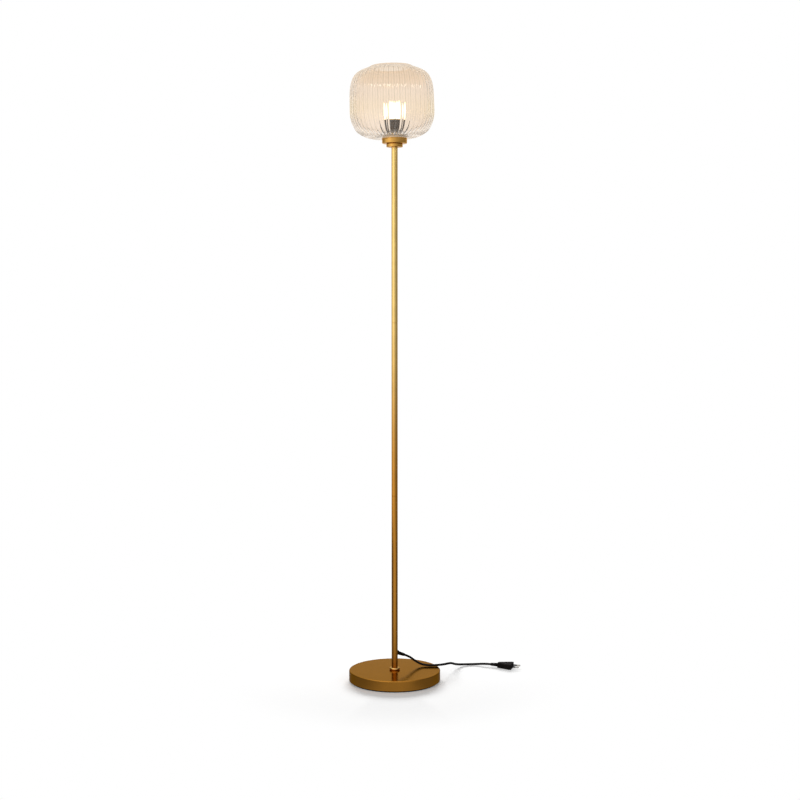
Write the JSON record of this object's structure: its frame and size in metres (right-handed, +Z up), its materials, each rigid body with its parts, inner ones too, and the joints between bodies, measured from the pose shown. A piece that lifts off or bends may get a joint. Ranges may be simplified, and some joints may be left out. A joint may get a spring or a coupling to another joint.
{
  "type": "floor lamp",
  "caption": "Slender gold floor lamp with a round weighted base, a screwed tube pole and a ribbed glass shade open on top.",
  "frame": {"origin": "middle of the base's underside, on the floor", "axes": "+Z up along the pole, -Y the side that faces the viewer, +X to the viewer's right, where the cord runs"},
  "size_m": [0.4314, 0.2645, 1.5],
  "materials": {
    "gold_metal": "gold plating over brushed steel, satin",
    "cast_weight": "as cast",
    "foot_pad": "matt black foam rubber",
    "steel_fittings": "zinc plated",
    "black_plastic": "moulded black thermoset",
    "clear_gasket": "translucent silicone",
    "contact_carrier": "moulded thermoset",
    "brass_contacts": "pressed brass",
    "ribbed_glass": "clear warm-tinted glass with vertical ribs",
    "frosted_glass": "frosted bulb glass, lit",
    "stem_glass": "clear glass",
    "filament_glow": "lit filament",
    "bulb_metal": "nickel plated",
    "bulb_black": "black insulating glass",
    "cord_black": "smooth black cord jacket",
    "wire_brown": "wire insulation",
    "wire_blue": "wire insulation",
    "pin_metal": "nickel plated"
  },
  "bodies": {
    "stand": {"base_cover": "gold_metal", "base_weight": "cast_weight", "base_pad": "foot_pad", "base_stud": "steel_fittings", "base_washer": "steel_fittings", "base_spring_washer": "steel_fittings", "base_nut": "steel_fittings", "pole_collar": "gold_metal", "pole_lower": "gold_metal", "pole_middle": "gold_metal", "pole_upper": "gold_metal", "insert_foot": "steel_fittings", "insert_lower_top": "steel_fittings", "insert_middle_bottom": "steel_fittings", "insert_middle_top": "steel_fittings", "insert_upper_bottom": "steel_fittings", "insert_head": "steel_fittings", "nipple_lower": "steel_fittings", "nipple_upper": "steel_fittings", "nipple_head": "steel_fittings", "head_collar": "gold_metal", "shade_cup": "gold_metal", "cup_washer": "steel_fittings", "cup_nut": "steel_fittings", "shade_gasket": "clear_gasket", "holder_cap": "black_plastic", "holder_body": "black_plastic", "contact_block": "contact_carrier", "terminals": "brass_contacts", "terminal_screws": "steel_fittings", "screw_shell": "brass_contacts", "centre_contact": "brass_contacts", "glass_shade": "ribbed_glass", "cord_bush": "cord_black", "inner_cable": "cord_black", "wire_live": "wire_brown", "wire_neutral": "wire_blue", "power_cord": "cord_black", "plug_body": "cord_black", "plug_pins": "pin_metal", "plug_sleeves": "cord_black"},
    "bulb_end": {"bulb_contact": "bulb_metal", "bulb_insulator": "bulb_black"},
    "bulb": {"bulb_cap": "bulb_metal", "bulb_glass": "frosted_glass", "bulb_stem": "stem_glass", "bulb_filaments": "filament_glow"},
    "clamp_ring": {"shade_ring": "black_plastic"}
  },
  "joints": [
    {"name": "bulb_climb", "type": "slide", "parent": "stand", "child": "bulb_end", "axis": [0, 0, 1], "range_m": [0, 0.01634]},
    {"name": "bulb_turn", "type": "hinge", "parent": "bulb_end", "child": "bulb", "pos_m": [0, 0, 1.36], "axis": [0, 0, 1], "range_deg": [0, 1620]},
    {"name": "ring_turn", "type": "hinge", "parent": "stand", "child": "clamp_ring", "pos_m": [0, 0, 1.335], "axis": [0, 0, 1], "range_deg": [0, 720]}
  ],
  "couplings": [
    {"joint": "bulb_climb", "follows": "bulb_turn", "m_per_rad": 0.00057757}
  ]
}
